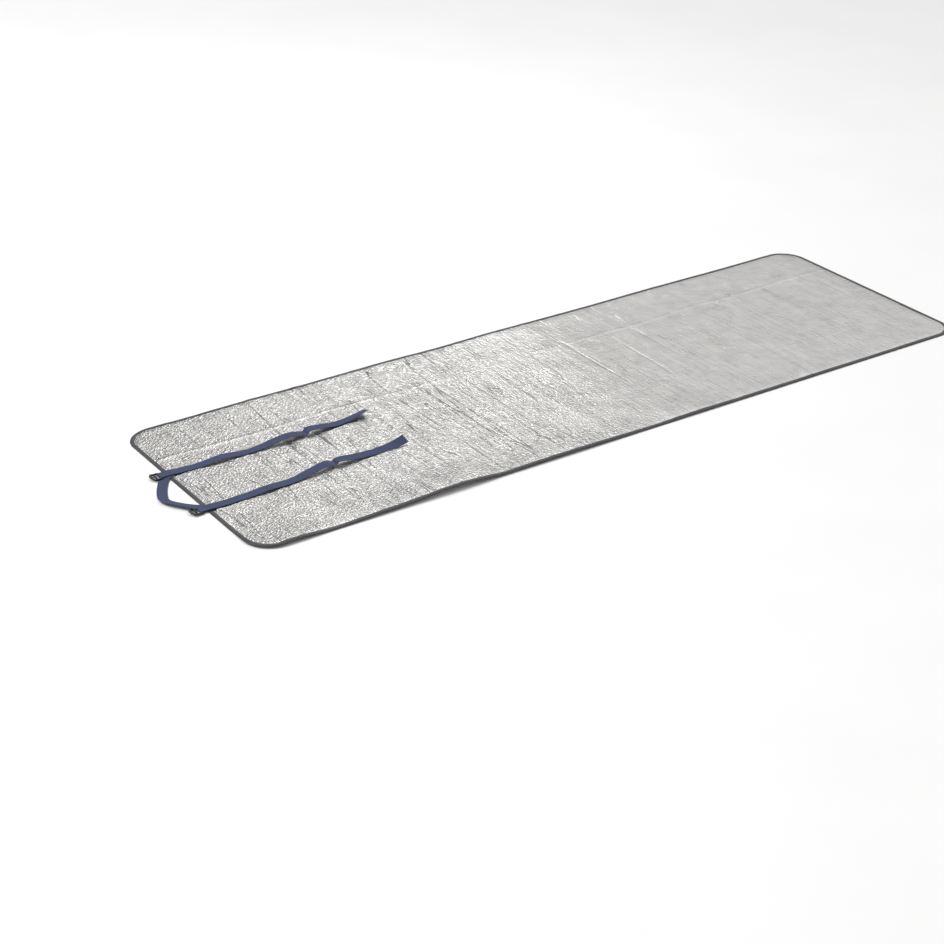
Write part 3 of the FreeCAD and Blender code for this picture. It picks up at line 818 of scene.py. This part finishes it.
class Nodes:
    """A short way to write one material's nodes."""

    def __init__(self, name):
        self.material = bpy.data.materials.new(name)
        self.material.use_nodes = True
        self.tree = self.material.node_tree
        self.shader = self.tree.nodes["Principled BSDF"]

    def add(self, kind, inputs=None, **settings):
        """A new node, with sockets given as values or as links."""
        node = self.tree.nodes.new("ShaderNode" + kind)
        for key, value in settings.items():
            setattr(node, key, value)
        for key, value in (inputs or {}).items():
            self.put(node.inputs[key], value)
        return node

    def put(self, socket, value):
        if isinstance(value, bpy.types.NodeSocket):
            self.tree.links.new(value, socket)
        else:
            socket.default_value = value

    def shade(self, **values):
        """Values or links for the surface shader's sockets, named with _ for a space."""
        for key, value in values.items():
            self.put(self.shader.inputs[key.replace("_", " ")], value)

    def place(self, label="rest_place"):
        """A place that the mesh carries: by default each point's own at rest."""
        return self.add("Attribute", attribute_name=label).outputs["Vector"]

    def scaled(self, vector, x, y, z):
        """A place with each of its axes scaled."""
        return self.add("Mapping", {"Vector": vector, "Scale": (x, y, z)}).outputs[0]

    def noise(self, vector, scale, detail=2.0, rough=0.5):
        inputs = {"Vector": vector, "Scale": scale, "Detail": detail, "Roughness": rough}
        return self.add("TexNoise", inputs).outputs["Fac"]

    def cells(self, vector, scale):
        """Distance to the middle of each cell of a random pattern."""
        return self.add("TexVoronoi", {"Vector": vector, "Scale": scale}, feature="F1").outputs["Distance"]

    def math(self, operation, a, b=0.0, c=0.0):
        """One sum; MULTIPLY_ADD is a * b + c."""
        return self.add("Math", {0: a, 1: b, 2: c}, operation=operation).outputs[0]

    def span(self, value, from_low, from_high, to_low, to_high):
        """One range of values turned into another, with soft ends."""
        inputs = {
            "Value": value, "From Min": from_low, "From Max": from_high,
            "To Min": to_low, "To Max": to_high,
        }
        return self.add("MapRange", inputs, interpolation_type="SMOOTHSTEP").outputs["Result"]

    def groove(self, vector, width):
        """1 along the middle line of a noise, 0 beyond a width: long wandering lines."""
        value = self.noise(vector, 1.0, 1.0)
        off = self.math("ABSOLUTE", self.math("SUBTRACT", value, 0.5))
        return self.span(off, 0.0, width, 1.0, 0.0)

    def ramp(self, value, *stops):
        """A colour for each value, from stops of (value, colour)."""
        node = self.add("ValToRGB", {"Fac": value})
        set_stops(node, stops)
        return node.outputs["Color"]

    def bump(self, height, distance):
        """A normal from a height, which counts as distance metres where it is 1."""
        return self.add("Bump", {"Height": height, "Distance": distance, "Strength": 1.0}).outputs["Normal"]


LINE_PITCH = 4.3 * MM  # between the fine crosswise creases
CELL_SCALE, SMALL_CELL_SCALE, GRAIN_SCALE = 215.0, 410.0, 620.0  # how many to the metre
LINE_DEPTH = -1.1
FOIL_TINT = (0.81, 0.80, 0.785)
FOIL_GLEAM = (0.855, 0.845, 0.825)


def foil_lines(n, place, run):
    """The foil's fine crosswise creases, in patches, and its few long folds."""
    bend = n.noise(n.scaled(place, 18.0, 4.0, 4.0), 1.0, 1.0)
    phase = n.math("MULTIPLY_ADD", run, 2 * math.pi / LINE_PITCH, n.math("MULTIPLY", bend, 9.0))
    comb = n.span(n.math("COSINE", phase), 0.70, 0.97, 0.0, 1.0)
    present = n.span(n.noise(n.scaled(place, 120.0, 8.0, 8.0), 1.0, 1.0), 0.47, 0.58, 0.0, 1.0)
    patches = n.span(n.noise(n.scaled(place, 9.0, 13.0, 13.0), 1.0, 3.0), 0.42, 0.56, 0.15, 1.0)
    fine = n.math("MULTIPLY", n.math("MULTIPLY", comb, present), patches)
    folds = n.groove(n.scaled(place, 27.0, 1.3, 1.3), 0.007)
    return n.math("MAXIMUM", fine, folds)


def foil_crumple(n, place):
    """The foil's small crumple: bent cells of two sizes and a grain."""
    shift = n.add("TexNoise", {"Vector": place, "Scale": 60.0, "Detail": 2.0}).outputs["Color"]
    bent = n.add("VectorMath", {0: shift, "Scale": 0.006}, operation="SCALE").outputs[0]
    moved = n.add("VectorMath", {0: place, 1: bent}, operation="ADD").outputs[0]
    small = n.math("MULTIPLY", n.cells(moved, SMALL_CELL_SCALE), 0.3)
    height = n.math("MULTIPLY_ADD", n.cells(moved, CELL_SCALE), 1.05, small)
    return n.math("MULTIPLY_ADD", n.noise(place, GRAIN_SCALE, 2.0, 0.6), 0.25, height)


def foil_material(name, emboss):
    """Aluminised film on foam: metal with a small crumple of its own, patches less polished, random dust,
    and painted shade darkening its crease lines.
    """
    n = Nodes(name)
    place = n.place()
    run = n.add("SeparateXYZ", {"Vector": place}).outputs["X"]
    used = n.span(run, NEAR + 0.60, NEAR + 1.25, 1.0, 0.24)
    lines = n.math("MULTIPLY", foil_lines(n, place, run), used)
    crumpled = n.math("MULTIPLY", foil_crumple(n, place), used)
    height = n.math("MULTIPLY_ADD", lines, LINE_DEPTH, crumpled)

    # Darker along the crease lines: painted shade in the creases; the noise adds random dust tone.
    dust_and_crease_shade = n.math("MULTIPLY_ADD", lines, -0.30, n.noise(place, 21.0, 4.0, 0.6))
    rough = n.span(n.noise(place, 55.0, 4.0, 0.65), 0.32, 0.68, 0.10, 0.22)
    dark_dust_and_shade, dull = (tuple(share * part for part in FOIL_TINT) for share in (0.36, 0.92))
    colour = n.ramp(dust_and_crease_shade, (0.05, dark_dust_and_shade), (0.32, dull), (0.52, FOIL_TINT), (0.70, FOIL_GLEAM))
    n.shade(Base_Color=colour, Metallic=1.0, Roughness=rough, Normal=n.bump(height, emboss))
    return n.material


def foam_material():
    """Pale closed-cell foam."""
    n = Nodes("foam_cells")
    cells = n.cells(n.place(), 900.0)
    colour = n.ramp(cells, (0.1, (0.62, 0.62, 0.60)), (0.7, (0.80, 0.80, 0.78)))
    n.shade(Base_Color=colour, Roughness=0.85, Normal=n.bump(cells, 0.4 * MM))
    return n.material


def tape_material():
    """Woven polyester binding: a fine weave, faded in patches."""
    n = Nodes("woven_tape")
    place = n.place()
    warp = n.noise(place, 1500.0, 1.0)
    weave = n.cells(place, 1100.0)
    fade = n.noise(place, 26.0, 4.0, 0.6)
    fibre = n.math("MULTIPLY_ADD", weave, 0.6, n.math("MULTIPLY", warp, 0.5))
    tone = n.math("MULTIPLY_ADD", fade, 0.65, n.math("MULTIPLY", fibre, 0.45))
    colour = n.ramp(
        tone, (0.30, (0.013, 0.014, 0.017)), (0.58, (0.028, 0.029, 0.035)), (0.85, (0.060, 0.062, 0.070))
    )
    n.shade(Base_Color=colour, Roughness=0.38, Normal=n.bump(fibre, 0.22 * MM))
    n.shade(Specular_IOR_Level=0.55, Sheen_Weight=0.15, Sheen_Roughness=0.4)
    return n.material


YARN_PITCH = 1.5 * MM  # along the webbing
SEALED_INK = (0.012, 0.013, 0.026, 1)
NAVY_SHEEN = (0.55, 0.62, 0.95, 1)


def webbing_material():
    """Flat navy webbing: ribs along it, picks across them, a darker sealed end, a little fuzz, and painted
    highlight and shade on its weave.
    """
    n = Nodes("navy_webbing")
    weave = n.place("weave")
    parts = n.add("SeparateXYZ", {"Vector": weave})
    across, run, to_end = (parts.outputs[k] for k in "XYZ")
    rib = n.math("MULTIPLY", across, 2 * math.pi / RIB_PITCH)
    shifted = n.math("MULTIPLY_ADD", run, 2 * math.pi / YARN_PITCH, n.math("SINE", rib))
    ribs = n.math("COSINE", rib)
    picks = n.math("SINE", n.math("ADD", shifted, rib))
    thread = n.math("MULTIPLY_ADD", ribs, 0.5, n.math("MULTIPLY", picks, 0.5))
    yarn = n.noise(n.scaled(weave, 1.0, 0.22, 0.0), 2400.0, 2.0)
    fade = n.noise(n.place(), 38.0, 4.0, 0.6)
    height = n.math("MULTIPLY_ADD", thread, 0.5, yarn)
    wear = n.math("MULTIPLY_ADD", fade, 0.55, n.math("MULTIPLY", yarn, 0.40))
    # Lighter on the weave's raised yarn and darker between it: painted highlight and painted shade; wear
    # adds random fading.
    tone = n.math("MULTIPLY_ADD", thread, 0.16, wear)
    woven = n.ramp(
        tone, (0.28, (0.014, 0.019, 0.055)), (0.50, (0.028, 0.038, 0.105)), (0.80, (0.055, 0.070, 0.160))
    )
    sealed = n.span(to_end, 0.6 * MM, 3.0 * MM, 1.0, 0.0)
    mix = n.add("Mix", data_type="RGBA")
    n.put(mix.inputs["Factor"], sealed)
    n.put(mix.inputs["A"], woven)
    n.put(mix.inputs["B"], SEALED_INK)
    rough = n.span(fade, 0.3, 0.7, 0.60, 0.80)
    n.shade(Base_Color=mix.outputs["Result"], Roughness=rough, Normal=n.bump(height, 0.28 * MM))
    n.shade(Sheen_Weight=0.22, Sheen_Roughness=0.45, Sheen_Tint=NAVY_SHEEN)
    return n.material


GREY_THREAD = ((0.075, 0.077, 0.085), (0.17, 0.172, 0.18))  # its dark and its light
NAVY_THREAD = ((0.030, 0.038, 0.10), (0.085, 0.10, 0.22))


def thread_material(name, shades):
    """Twisted sewing thread."""
    n = Nodes(name)
    dark, light = shades
    twist = n.noise(n.place(), 3200.0, 2.0)
    colour = n.ramp(twist, (0.3, dark), (0.7, light))
    n.shade(Base_Color=colour, Roughness=0.6, Sheen_Weight=0.2, Normal=n.bump(twist, 0.15 * MM))
    return n.material


def plastic_material():
    """Moulded acetal: black, satin, faintly grained, rubbed a little paler in places."""
    n = Nodes("black_plastic")
    place = n.add("TexCoord").outputs["Object"]
    grain = n.noise(place, 2600.0, 3.0, 0.6)
    wear = n.noise(place, 190.0, 4.0, 0.7)
    edge = n.add("NewGeometry").outputs["Pointiness"]
    rubbed = n.math("MULTIPLY", n.span(edge, 0.51, 0.58, 0.0, 1.0), n.span(wear, 0.4, 0.7, 0.2, 1.0))
    colour = n.ramp(
        n.math("MULTIPLY_ADD", rubbed, 0.6, n.math("MULTIPLY", wear, 0.35)),
        (0.10, (0.004, 0.004, 0.005)), (0.40, (0.010, 0.010, 0.011)), (0.95, (0.07, 0.07, 0.074)),
    )
    rough = n.span(wear, 0.3, 0.7, 0.30, 0.44)
    n.shade(Base_Color=colour, Roughness=rough, Normal=n.bump(grain, 0.06 * MM), Specular_IOR_Level=0.35)
    return n.material


def finish_buckles(material):
    """The CAD buckles stay, with their moulded edges eased."""
    for side in SIDES:
        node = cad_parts[f"buckle_{side}"]
        node.data.materials.clear()
        node.data.materials.append(material)
        weld = node.modifiers.new("weld", "WELD")
        weld.merge_threshold = 0.01 * MM
        ease = node.modifiers.new("ease", "BEVEL")
        ease.width = 0.38 * MM
        ease.segments = 2
        ease.limit_method = "ANGLE"
        ease.angle_limit = math.radians(38)


# ------------------------------------------------------------------ studio


FLOOR_REACH = 40
FLOOR_LEVEL = -0.4 * MM  # a hair below the pad, which then doesn't cut into it


def stage_floor():
    """A plain pale floor."""
    mesh = bpy.data.meshes.new("floor")
    signs = ((-1, -1), (1, -1), (1, 1), (-1, 1))
    corners = [(x * FLOOR_REACH, y * FLOOR_REACH, FLOOR_LEVEL) for x, y in signs]
    mesh.from_pydata(corners, [], [(0, 1, 2, 3)])
    n = Nodes("floor_paper")
    soft = n.noise(n.add("TexCoord").outputs["Object"], 3.0)
    paper = n.ramp(soft, (0.3, (0.90, 0.90, 0.90)), (0.7, (0.92, 0.92, 0.92)))
    n.shade(Base_Color=paper, Roughness=0.9, Specular_IOR_Level=0.1)
    mesh.materials.append(n.material)
    floor = bpy.data.objects.new("floor", mesh)
    bpy.context.scene.collection.objects.link(floor)


# The surround's brightness by height, from straight down (0) by the horizon (0.5) to overhead (1)
SKY_STOPS = (
    (0.00, 0.18), (0.20, 0.28), (0.33, 0.62), (0.40, 0.72), (0.50, 0.68), (0.62, 1.22), (1.00, 1.40),
)
# and dimmer towards -X: where that starts and ends, and the share of light at each
SIDE_FADE = {"From Min": 0.34, "From Max": 0.47, "To Min": 0.56, "To Max": 1.0}


def studio_sky():
    """A soft surround, greyer at the horizon and to one side, bright overhead."""
    world = bpy.data.worlds.new("studio")
    bpy.context.scene.world = world
    world.use_nodes = True
    nodes, links = world.node_tree.nodes, world.node_tree.links
    split, ramp = nodes.new("ShaderNodeSeparateXYZ"), nodes.new("ShaderNodeValToRGB")
    links.new(nodes.new("ShaderNodeTexCoord").outputs["Generated"], split.inputs[0])
    links.new(split.outputs["Z"], ramp.inputs["Fac"])
    links.new(ramp.outputs["Color"], nodes["Background"].inputs["Color"])
    set_stops(ramp, [(at, (grey, grey, grey * 0.995)) for at, grey in SKY_STOPS])
    side = nodes.new("ShaderNodeMapRange")
    side.interpolation_type = "SMOOTHSTEP"
    for label, value in SIDE_FADE.items():
        side.inputs[label].default_value = value
    links.new(split.outputs["X"], side.inputs["Value"])
    links.new(side.outputs["Result"], nodes["Background"].inputs["Strength"])


def point_at(thing, place, aim):
    """Puts a light or the camera at a place, looking at another."""
    thing.location = place
    thing.rotation_mode = "QUATERNION"
    thing.rotation_quaternion = (Vector(aim) - thing.location).to_track_quat("-Z", "Y")
    bpy.context.scene.collection.objects.link(thing)


def softbox(name, place, aim, size, power):
    """A flat, soft light of a width and a height in metres, and a power in watts."""
    light = bpy.data.lights.new(name, "AREA")
    light.shape = "RECTANGLE"
    light.size, light.size_y = size
    light.energy = power
    point_at(bpy.data.objects.new(name, light), place, aim)


CAMERA_PLACE = (-2.512, -3.401, 2.017)
CAMERA_AIM = (-0.379, -0.248, 0.0)
FOCAL_LENGTH, SENSOR = 80.24, 36  # millimetres


def camera():
    """The camera, over the strap end and to its right."""
    data = bpy.data.cameras.new("camera")
    data.lens, data.sensor_width = FOCAL_LENGTH, SENSOR
    data.clip_start, data.clip_end = 0.1, 100
    eye = bpy.data.objects.new("camera", data)
    point_at(eye, CAMERA_PLACE, CAMERA_AIM)
    bpy.context.scene.camera = eye


def studio():
    """Floor, surround, two lights and the camera."""
    stage_floor()
    studio_sky()
    softbox("key_light", (-4.0, 1.9, 5.3), (-0.2, 0, 0), (3.4, 3.4), 275)
    softbox("back_light", (0.81, 2.07, 1.50), (-0.55, -0.2, 0), (0.9, 0.45), 4.0)
    camera()
    bpy.context.scene.view_settings.view_transform = "Standard"


def main():
    """Every piece of the pad, and what stands round it."""
    studio()
    upper, lower = foil_material("upper_foil", 1.1 * MM), foil_material("lower_foil", 0.8 * MM)
    foil_layer("top_foil", FOIL_INSET, 3 * MM, top_relief, upper, 1)
    foil_layer("bottom_foil", FOIL_INSET, 5 * MM, bottom_relief, lower, -1)
    foam_layer(foam_material())
    binding(tape_material(), thread_material("grey_thread", GREY_THREAD))
    webbing = webbing_material()
    straps(webbing)
    handle(webbing)
    box_stitches(thread_material("navy_thread", NAVY_THREAD))
    finish_buckles(plastic_material())


main()
